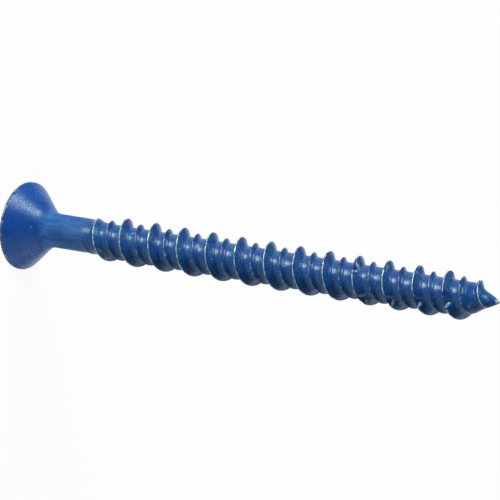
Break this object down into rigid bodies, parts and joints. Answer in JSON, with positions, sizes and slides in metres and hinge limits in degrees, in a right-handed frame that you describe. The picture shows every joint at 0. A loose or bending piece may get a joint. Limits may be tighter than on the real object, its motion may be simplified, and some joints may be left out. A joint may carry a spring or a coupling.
{
  "type": "concrete screw",
  "caption": "Flat-head concrete screw in blue-coated steel, with a cross recess, a plain shank, a notched high-low double thread and a conical point.",
  "frame": {"origin": "centre of the flat head face, on which the screw stands", "axes": "+Z along the screw's axis from the head face to the point; +X is the side that the picture shows on top"},
  "size_m": [0.013, 0.013, 0.0825],
  "materials": {
    "coating": "semi-gloss blue corrosion coating, worn thin to a pale line along the thread crests"
  },
  "bodies": {
    "root": {"screw": "coating"}
  },
  "joints": []
}
